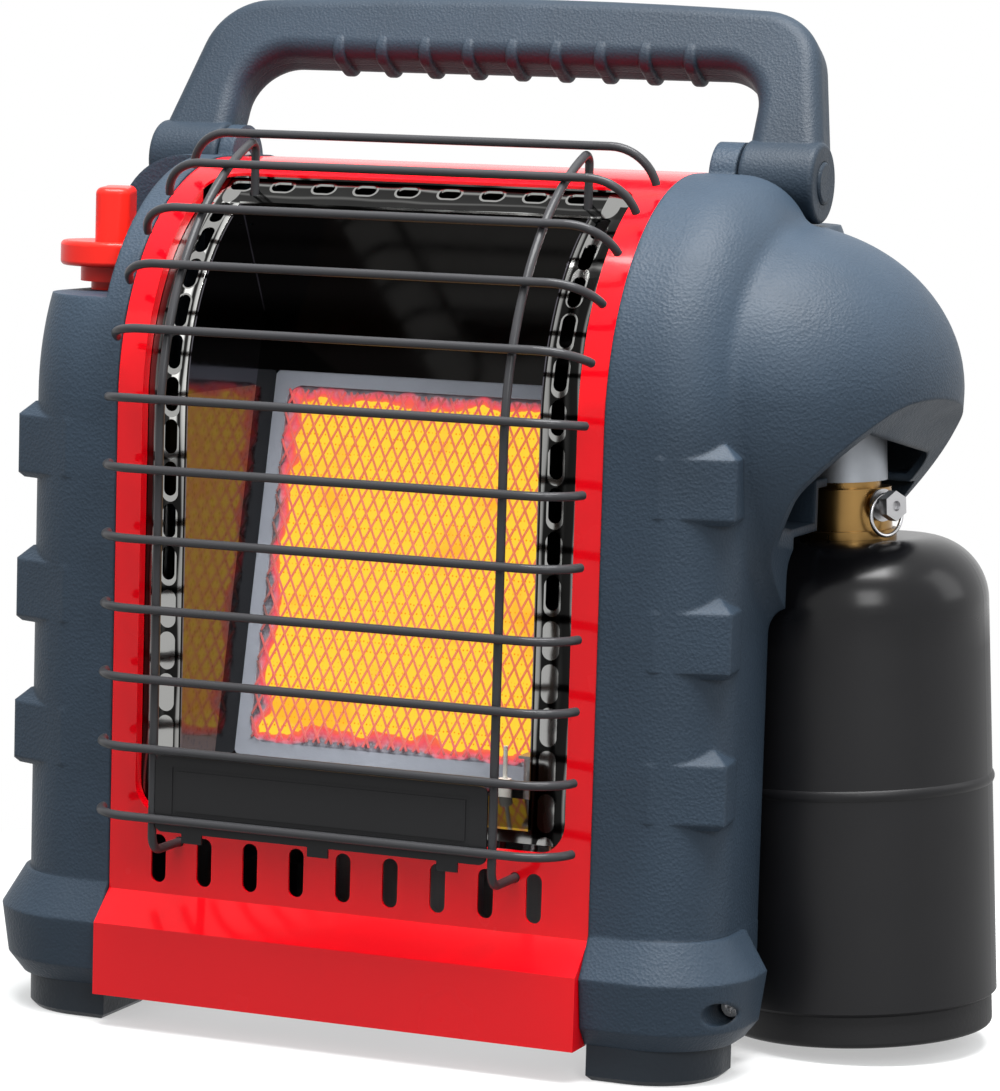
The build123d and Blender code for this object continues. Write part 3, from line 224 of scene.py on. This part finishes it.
def blended(m, mask, off, on, blend_type="MIX"):
    """A colour from off to on with the mask (a socket or a number); off and on are sockets or colours."""
    node = m.add("ShaderNodeMix", data_type="RGBA", blend_type=blend_type)
    sockets = [x for x in node.inputs if x.type == "RGBA"]
    if isinstance(mask, float):
        node.inputs[0].default_value = mask
    else:
        m.link(mask, node.inputs[0])
    for socket, value in zip(sockets, (off, on)):
        if isinstance(value, tuple):
            socket.default_value = (*value, 1)
        else:
            m.link(value, socket)
    return [x for x in node.outputs if x.type == "RGBA"][0]


TILE_LEAN = math.radians(12)
TILE_FACE = at(0, -4.5, 167)
TILE_HALF = (0.066, 0.0705)


def remapped(m, source, low, high, to_low=0.0, to_high=1.0):
    """A socket stretched from one span to another, held at both ends."""
    node = m.add("ShaderNodeMapRange")
    for key, value in (("From Min", low), ("From Max", high), ("To Min", to_low), ("To Max", to_high)):
        node.inputs[key].default_value = value
    m.link(source, node.inputs["Value"])
    return node.outputs["Result"]


def wavy(m, scale, size, stretch=(1, 1, 1), detail=1.5):
    """Noise about nought, in metres."""
    return maths(m, "MULTIPLY", maths(m, "SUBTRACT", m.noise(scale, detail, 0.4, stretch), 0.5), size)


def edge_depth(m, half_width, half_height):
    """Distance in from the nearest edge of the tile's face."""
    across = maths(m, "ABSOLUTE", measure(m, 0, TILE_FACE.x))
    rise = maths(m, "ABSOLUTE", maths(m, "DIVIDE", measure(m, 2, TILE_FACE.z), math.cos(TILE_LEAN)))
    side_gap = maths(m, "SUBTRACT", maths(m, "MULTIPLY", across, -1.0), -half_width)
    end_gap = maths(m, "SUBTRACT", maths(m, "MULTIPLY", rise, -1.0), -half_height)
    return maths(m, "MINIMUM", side_gap, end_gap)


def ceramic_tile(name):
    """Glowing tile: yellow cells pricked with fine holes, a ragged pink edge and a cool grey margin."""
    m = Nodes(name)
    depth = maths(m, "ADD", edge_depth(m, *TILE_HALF), wavy(m, 95.0, 0.014, detail=4.0))
    holes = m.add("ShaderNodeTexVoronoi", Scale=640.0, Randomness=0.25)
    m.link(m.scaled((1, 1, 1), (-TILE_LEAN, 0, 0)), holes.inputs["Vector"])
    cell = m.ramp(holes.outputs["Distance"], [(0.1, (0.9, 0.22, 0.0)), (0.3, (1.0, 0.66, 0.045))])
    patch = m.ramp(m.noise(48.0, 2.0), [(0.34, (1.0, 0.5, 0.03)), (0.56, (1.0, 0.78, 0.12))])
    yellow = blended(m, 1.0, cell, patch, "DARKEN")
    glow = remapped(m, depth, 0.0035, 0.0105)
    rim = m.ramp(glow, [(0.0, (0.0, 0.0, 0.0)), (0.12, (0.42, 0.02, 0.04)), (0.4, (0.86, 0.07, 0.1)),
                        (0.7, (0.97, 0.2, 0.06))])
    m.link(blended(m, above(m, glow, 0.66), rim, yellow), m.shader.inputs["Emission Color"])
    m.set(Emission_Strength=1.0, Roughness=0.85, Specular_IOR_Level=0.2)
    cold = m.ramp(m.noise(240.0, 4.0), [(0.3, (0.16, 0.17, 0.2)), (0.7, (0.3, 0.32, 0.36))])
    m.colour(blended(m, remapped(m, glow, 0.1, 0.5), cold, (0.04, 0.02, 0.005)))
    m.bump(holes.outputs["Distance"], 0.5, 0.0005)
    return m.material


def hot_wire(name):
    """Red-hot wire, cooler and pinker towards the edges of the screen."""
    m = Nodes(name)
    depth = maths(m, "ADD", edge_depth(m, *TILE_HALF), wavy(m, 80.0, 0.01, detail=3.0))
    hot = m.ramp(remapped(m, depth, 0.0, 0.02), [(0.12, (0.06, 0.02, 0.025)), (0.3, (0.62, 0.05, 0.06)),
                                                 (0.75, (0.62, 0.11, 0.02))])
    m.link(hot, m.shader.inputs["Emission Color"])
    m.colour(m.ramp(m.noise(300.0), [(0.3, (0.16, 0.08, 0.07)), (0.7, (0.24, 0.12, 0.1))]))
    m.set(Emission_Strength=1.0, Roughness=0.7)
    return m.material


def row_rim(m, along, side, start, pitch, straight, radius):
    """1 on the turned edge round each slot of a row; along and side are sockets in metres."""
    cell = maths(m, "FLOORED_MODULO", maths(m, "SUBTRACT", along, start - pitch / 2), pitch)
    from_middle = maths(m, "ABSOLUTE", maths(m, "SUBTRACT", cell, pitch / 2))
    run = maths(m, "MAXIMUM", maths(m, "SUBTRACT", from_middle, straight), 0.0)
    squares = maths(m, "ADD", maths(m, "MULTIPLY", run, run), maths(m, "MULTIPLY", side, side))
    return maths(m, "LESS_THAN", maths(m, "SQRT", squares), radius)


def painted_reflection_streaks(m, source, stops):
    """Painted reflection: grey bands across a flange; stops are (place, level)."""
    return m.ramp(source, [(place, (level, level, level * 0.97)) for place, level in stops])


# The reflector's flange: where it starts and how wide it is across, its sill, its brow and its back edge.
FLANGE_IN, FLANGE_WIDE = 0.0698, 0.015
FLANGE_SIDE = 0.0701
SILL_TOP = 0.0864
BROW, BACK_EDGE = at(0, -25.0, 303.0), at(0, -11.0, 312.2)
TOP_HALF = 0.0735

# Painted reflection bands across the flange, as (share of the width, grey level): the plain sides, the upper
# left side, the top.
PLAIN_REFLECTION_BANDS = [
    (0.0, 0.3), (0.05, 0.26), (0.1, 0.012), (0.42, 0.01), (0.5, 0.03), (0.58, 0.02), (0.66, 0.01),
    (0.85, 0.012), (0.9, 0.22), (0.95, 0.02), (0.99, 0.05)]
LIVELY_REFLECTION_BANDS = [
    (0.0, 0.7), (0.07, 0.5), (0.11, 0.02), (0.18, 0.02), (0.24, 1.0), (0.42, 0.9), (0.46, 0.02),
    (0.6, 0.03), (0.66, 0.75), (0.75, 0.5), (0.8, 0.015), (0.99, 0.2)]
TOP_REFLECTION_BANDS = [
    (0.0, 0.75), (0.05, 0.65), (0.1, 0.02), (0.3, 0.016), (0.36, 0.12), (0.42, 0.02), (0.68, 0.015),
    (0.74, 0.3), (0.79, 0.02), (0.92, 0.02), (0.99, 0.3)]


def flange_painted_reflections(m, x, y, z, top):
    """Painted reflection: grey bands that follow the flange's bends, with a painted highlight round each
    slot.
    """
    across = maths(m, "ABSOLUTE", x)
    width = maths(m, "ADD", maths(m, "SUBTRACT", across, FLANGE_IN), wavy(m, 38.0, 0.007, (1, 0.45, 0.45)))
    run = remapped(m, width, 0.0, FLANGE_WIDE)
    upper_left = maths(m, "MULTIPLY", remapped(m, z, 0.205, 0.235), maths(m, "LESS_THAN", x, 0.0))
    sides = blended(m, upper_left, painted_reflection_streaks(m, run, PLAIN_REFLECTION_BANDS), painted_reflection_streaks(m, run, LIVELY_REFLECTION_BANDS))
    climb = maths(m, "ADD", maths(m, "SUBTRACT", y, BROW.y), wavy(m, 45.0, 0.006, (0.5, 1, 1)))
    tops = painted_reflection_streaks(m, remapped(m, climb, 0.0, BACK_EDGE.y - BROW.y), TOP_REFLECTION_BANDS)
    on_top = maths(m, "MULTIPLY", top, maths(m, "LESS_THAN", across, TOP_HALF))
    # Painted highlight: a pale grey ring round each slot of the sides and each hole of the top.
    slots = row_rim(m, z, maths(m, "SUBTRACT", across, 0.0756), 0.0931, 0.0155, 0.0038, 0.0032)
    holes = row_rim(m, x, maths(m, "SUBTRACT", y, at(0, -15.2, 0).y), -0.006, 0.0169, 0.002, 0.0031)
    at_side = maths(m, "MULTIPLY", slots, above(m, across, FLANGE_SIDE))
    rim_highlights = maths(m, "MAXIMUM", at_side, maths(m, "MULTIPLY", holes, top))
    return blended(m, rim_highlights, blended(m, on_top, sides, tops), (0.36, 0.36, 0.35))


def cheek_mask(m, across, y, z):
    """1 on the inner face of a cheek, in front of the tile."""
    lean = maths(m, "MULTIPLY", maths(m, "SUBTRACT", z, TILE_FACE.z), math.tan(TILE_LEAN))
    before = maths(m, "SUBTRACT", maths(m, "SUBTRACT", y, TILE_FACE.y), lean)
    inner_face = maths(m, "MULTIPLY", above(m, across, 0.0687), maths(m, "LESS_THAN", across, 0.0694))
    return maths(m, "MULTIPLY", inner_face, maths(m, "LESS_THAN", before, -0.0185))


def bright_plate(name):
    """Mirror-polished reflector with painted reflections: a roof painted black as a dark reflection, cheeks
    with a painted warm glow, and a flange with painted bright reflection bands along its bends.
    """
    m = Nodes(name)
    x, y, z = (measure(m, 0, TILE_FACE.x), measure(m, 1), measure(m, 2))
    across = maths(m, "ABSOLUTE", x)
    top = maths(m, "MULTIPLY", above(m, z, BROW.z), above(m, y, BROW.y))
    sides_and_top = maths(m, "MAXIMUM", above(m, across, FLANGE_SIDE), top)
    flange = maths(m, "MAXIMUM", sides_and_top, maths(m, "LESS_THAN", z, SILL_TOP))
    cheek = cheek_mask(m, across, y, z)
    # Painted dark reflection: a near-black mirror colour for the roof, a dim grey one for the cheeks.
    painted_dark_mirror = blended(m, cheek, (0.013, 0.0125, 0.012), (0.1, 0.095, 0.11))
    m.colour(blended(m, flange, painted_dark_mirror, flange_painted_reflections(m, x, y, z, top)))
    # Painted glow: a faint warm woven emission on the cheeks' inner faces in front of the tile, standing for
    # the tile's reflected light.
    lit = maths(m, "MULTIPLY", maths(m, "LESS_THAN", z, 0.2345), above(m, z, 0.0975))
    off_flange = maths(m, "LESS_THAN", flange, 0.5)
    painted_glow_mask = maths(m, "MULTIPLY", maths(m, "MULTIPLY", cheek, lit), off_flange)
    grain = m.ramp(m.cells(420.0), [(0.1, (0.02, 0.01, 0.004)), (0.45, (0.05, 0.026, 0.013))])
    m.link(blended(m, painted_glow_mask, (0.0, 0.0, 0.0), grain), m.shader.inputs["Emission Color"])
    m.set(Metallic=1.0, Emission_Strength=1.0)
    m.bump(maths(m, "MULTIPLY", m.noise(60.0, 2.0, 0.4), flange), 0.3, 0.001)
    m.roughness(m.noise(120.0), 0.05, 0.13)
    return m.material


def gas_bottle(name):
    """Black cylinder paint: glossier at the shoulder, flatter below it."""
    m = Nodes(name)
    m.colour(m.ramp(m.noise(30.0), [(0.3, (0.003, 0.003, 0.004)), (0.7, (0.005, 0.005, 0.006))]))
    height = maths(m, "ADD", measure(m, 2), wavy(m, 160.0, 0.006))
    m.link(remapped(m, height, 0.15, 0.165, 0.45, 0.24), m.shader.inputs["Roughness"])
    m.bump(m.noise(500.0, 2.0), 0.2, 0.00004)
    m.set(Specular_IOR_Level=0.3)
    return m.material


SLATE = (0.026, 0.041, 0.061)
MATERIALS = {
    "slate": moulded("slate_plastic", SLATE, 1050.0, 0.00025, soft=0.002),
    "handle": moulded("handle_plastic", shade(SLATE, 0.72), 1200.0, 0.00018, soft=0.001),
    "foot": moulded("foot_plastic", (0.018, 0.024, 0.032), 800.0, 0.0002),
    "black_plastic": moulded("black_plastic", (0.012, 0.012, 0.013), 700.0, 0.00006),
    "knob": enamel("knob_plastic", (0.88, 0.022, 0.014), 0.35, 0.2),
    "red": enamel("red_enamel", (0.78, 0.0, 0.006), 0.25, 0.4),
    "black": enamel("black_enamel", (0.016, 0.016, 0.017), 0.42, 0.1),
    "wire": enamel("wire_enamel", (0.038, 0.038, 0.041), 0.4, 0.15),
    "cylinder": gas_bottle("cylinder_enamel"),
    "chrome": bright_plate("polished_steel"),
    "bezel": moulded("bezel_scale", (0.32, 0.34, 0.39), 260.0, 0.0002, 0.6, 0.8),
    "zinc": metal("zinc_steel", (0.5, 0.5, 0.51), 0.3, 0.5),
    "steel": metal("screw_steel", (0.6, 0.6, 0.61), 0.2, 0.35),
    "alloy": metal("cast_alloy", (0.34, 0.36, 0.39), 0.4, 0.6, grain=260.0, height=0.0001, strength=0.6),
    "tube": metal("tube_alloy", (0.7, 0.7, 0.71), 0.3, 0.45),
    "brass": metal("brass", (0.32, 0.19, 0.065), 0.2, 0.38),
    "copper": metal("copper_lead", (0.7, 0.34, 0.2), 0.3, 0.45),
    "fibre": moulded("white_fibre", (0.3, 0.29, 0.28), 300.0, 0.0003, 0.85, 0.95),
    "rubber": moulded("seal_rubber", (0.015, 0.015, 0.015), 500.0, 0.00005, 0.6, 0.8),
    "lead": moulded("lead_rubber", (0.3, 0.015, 0.012), 500.0, 0.00003, 0.4, 0.5),
    "white_ceramic": moulded("spark_ceramic", (0.8, 0.78, 0.72), 400.0, 0.00002, 0.2, 0.3),
    "tile": ceramic_tile("ceramic_tile"),
    "hot": hot_wire("hot_mesh"),
}

LOOKS = {
    "slate": ["right_casing", "left_casing"],
    "foot": ["foot_front_right", "foot_front_left", "foot_rear_right", "foot_rear_left"],
    "handle": ["handle_front", "handle_back", "pivot_caps"],
    "black_plastic": ["igniter_body", "igniter_plunger", "tip_switch_case", "cylinder_foot"],
    "knob": ["control_knob"],
    "red": ["front_panel"],
    "black": ["rear_panel", "guard_plate"],
    "wire": ["guard_cross_wires", "guard_upright_wires"],
    "cylinder": ["cylinder_shell"],
    "chrome": ["reflector"],
    "bezel": ["tile_frame"],
    "zinc": ["base_plate", "burner_pan", "heat_shield", "pan_supports", "valve_spindle", "push_plate",
             "valve_bracket", "pilot_bracket", "pilot_burner", "regulator_bracket", "relief_valve"],
    "steel": ["handle_pins", "push_rod", "return_spring", "tip_switch_pin", "tip_switch_weight",
              "regulator_screws", "pull_ring", "casing_screws", "rear_screws"],
    "alloy": ["regulator_body", "regulator_cover"],
    "tube": ["venturi_tube", "feed_tube", "burner_tube", "pilot_tube"],
    "brass": ["valve_body", "gas_injector", "swivel_elbow", "cylinder_valve"],
    "copper": ["thermocouple", "thermocouple_lead"],
    "fibre": ["tile_gasket"],
    "rubber": ["inlet_seal"],
    "lead": ["igniter_lead"],
    "white_ceramic": ["spark_electrode"],
    "tile": ["burner_tile"],
}


def paint(obj, material):
    """Give every slot of an object one material."""
    obj.data.materials.clear()
    obj.data.materials.append(material)


for look, names in LOOKS.items():
    for name in names:
        paint(NODES[name], MATERIALS[look])


# ---------------------------------------------------------------- wire screen before the tile
SCREEN_HALF = (0.0635, 0.0665)
STRAND_WIDE, STRAND_THICK = 0.0008, 0.0004
DIAMOND = (0.0051, 0.0106)
LAYERS = ((1, 0.0011), (-1, 0.0014))  # each family's slant, and how far it stands off the tile
SHORTEST = 0.003
BAR_FACES = ((0, 1, 5, 4), (1, 2, 6, 5), (2, 3, 7, 6), (3, 0, 4, 7), (3, 2, 1, 0), (4, 5, 6, 7))


def screen_point(x, v, out):
    """A point on the leaning screen: across, up, and out from the tile's face."""
    y = TILE_FACE.y + v * math.sin(TILE_LEAN) - out * math.cos(TILE_LEAN)
    return (TILE_FACE.x + x, y, TILE_FACE.z + v * math.cos(TILE_LEAN) + out * math.sin(TILE_LEAN))


def clipped(x, dx, dv):
    """The part of a strand through (x, 0) that lies on the screen, as two distances along it."""
    low, high = -1.0, 1.0
    for start, step, limit in ((x, dx, SCREEN_HALF[0]), (0.0, dv, SCREEN_HALF[1])):
        ends = sorted(((-limit - start) / step, (limit - start) / step))
        low, high = max(low, ends[0]), min(high, ends[1])
    return low, high


def wire_screen():
    """Expanded-metal screen: two families of slanting strands that make tall diamonds."""
    verts, faces = [], []
    rise = DIAMOND[1] / DIAMOND[0]
    length = math.hypot(1.0, rise)
    count = int((SCREEN_HALF[0] + SCREEN_HALF[1] / rise) / DIAMOND[0]) + 1
    for slant, lift in LAYERS:
        dx, dv = slant / length, rise / length
        for i in range(-count, count + 1):
            x0 = i * DIAMOND[0]
            low, high = clipped(x0, dx, dv)
            if high - low < SHORTEST:
                continue
            base = len(verts)
            for t in (low, high):
                for side, out in ((-1, 0), (1, 0), (1, STRAND_THICK), (-1, STRAND_THICK)):
                    x = x0 + dx * t + side * dv * STRAND_WIDE / 2
                    v = dv * t - side * dx * STRAND_WIDE / 2
                    verts.append(screen_point(x, v, lift + out))
            faces += [tuple(base + k for k in face) for face in BAR_FACES]
    mesh = bpy.data.meshes.new("wire_screen")
    mesh.from_pydata(verts, [], faces)
    screen = bpy.data.objects.new("wire_screen", mesh)
    bpy.context.scene.collection.objects.link(screen)
    screen.data.materials.append(MATERIALS["hot"])
    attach(screen, "body")
    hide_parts("burner_mesh")


wire_screen()


def coil_spring():
    """The knob's spring, as a copy of the CAD spring with its own mesh, hung on the body in place of the
    original.
    """
    spring = bpy.data.objects.new("coil_spring", NODES["return_spring"].data.copy())
    bpy.context.scene.collection.objects.link(spring)
    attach(spring, "body")
    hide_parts("return_spring")
    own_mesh(spring)


coil_spring()


# ---------------------------------------------------------------- setting and light
def any_ray(tree, *kinds):
    """1 for rays of any of the kinds."""
    path = tree.nodes.new("ShaderNodeLightPath")
    mask = path.outputs[kinds[0]]
    for kind in kinds[1:]:
        either = tree.nodes.new("ShaderNodeMath")
        either.operation = "MAXIMUM"
        tree.links.new(mask, either.inputs[0])
        tree.links.new(path.outputs[kind], either.inputs[1])
        mask = either.outputs[0]
    return mask


def make_world():
    """White to the eye and in reflections; as light, a dim horizon under a brighter sky."""
    world = bpy.data.worlds.new("world")
    bpy.context.scene.world = world
    world.use_nodes = True
    tree = world.node_tree
    tree.nodes.clear()
    split = tree.nodes.new("ShaderNodeSeparateXYZ")
    tree.links.new(tree.nodes.new("ShaderNodeTexCoord").outputs["Generated"], split.inputs[0])
    level = tree.nodes.new("ShaderNodeValToRGB")
    fill_ramp(level.color_ramp.elements, [(0.0, (0.06, 0.065, 0.07)), (0.9, (0.95, 1.0, 1.0))])
    tree.links.new(split.outputs["Z"], level.inputs["Fac"])
    sky = tree.nodes.new("ShaderNodeBackground")
    tree.links.new(level.outputs["Color"], sky.inputs["Color"])
    white = tree.nodes.new("ShaderNodeBackground")
    white.inputs["Color"].default_value = (1, 1, 1, 1)
    mix = tree.nodes.new("ShaderNodeMixShader")
    shown = any_ray(tree, "Is Camera Ray", "Is Glossy Ray", "Is Transmission Ray")
    tree.links.new(shown, mix.inputs["Fac"])
    tree.links.new(sky.outputs[0], mix.inputs[1])
    tree.links.new(white.outputs[0], mix.inputs[2])
    out = tree.nodes.new("ShaderNodeOutputWorld")
    tree.links.new(mix.outputs[0], out.inputs["Surface"])


def make_floor():
    """A plain pale floor that keeps the heater's shadow and goes over into plain white further out."""
    mesh = bpy.data.meshes.new("floor")
    half = 3.0
    corners = [(-half, -half, 0), (half, -half, 0), (half, half, 0), (-half, half, 0)]
    mesh.from_pydata(corners, [], [(0, 1, 2, 3)])
    floor = bpy.data.objects.new("floor", mesh)
    bpy.context.scene.collection.objects.link(floor)
    m = Nodes("floor_white")
    pale = m.ramp(m.noise(3.0), [(0.3, (0.93, 0.93, 0.93)), (0.7, (0.95, 0.95, 0.95))])
    seen = any_ray(m.tree, "Is Camera Ray")
    mirrored = any_ray(m.tree, "Is Glossy Ray", "Is Transmission Ray")
    m.colour(blended(m, seen, (0.1, 0.1, 0.1), pale))
    m.set(Roughness=0.9, Specular_IOR_Level=0.0)
    white = m.add("ShaderNodeEmission")
    near = m.add("ShaderNodeVectorMath", operation="LENGTH")
    m.link(m.coords, near.inputs[0])
    mixed = m.add("ShaderNodeMixShader")
    whiteness = remapped(m, near.outputs["Value"], 0.16, 0.42, 0.45, 1.0)
    share = maths(m, "MULTIPLY", whiteness, seen)
    m.link(maths(m, "MAXIMUM", share, mirrored), mixed.inputs["Fac"])
    m.link(m.shader.outputs[0], mixed.inputs[1])
    m.link(white.outputs[0], mixed.inputs[2])
    m.link(mixed.outputs[0], m.tree.nodes["Material Output"].inputs["Surface"])
    paint(floor, m.material)


def lamp(name, place, aim, size, watts):
    """A soft rectangular studio lamp."""
    data = bpy.data.lights.new(name, "AREA")
    data.shape = "RECTANGLE"
    data.size, data.size_y = size
    data.energy = watts
    obj = bpy.data.objects.new(name, data)
    bpy.context.scene.collection.objects.link(obj)
    obj.location = place
    obj.rotation_euler = (Vector(aim) - Vector(place)).to_track_quat("-Z", "Y").to_euler()


make_world()
make_floor()
lamp("overhead", (0.2, -0.3, 1.7), (0, 0, 0.1), (1.2, 0.9), 74)
lamp("front_left", (-1.5, -1.5, 0.9), (0, 0, 0.2), (0.9, 1.3), 2)
lamp("front_right", (1.2, -1.6, 1.1), (0, 0, 0.2), (0.6, 0.9), 13)
lamp("right_rear", (1.6, 0.7, 1.0), (0.1, 0, 0.2), (0.7, 1.2), 5)
bpy.context.scene.view_settings.view_transform = "Standard"
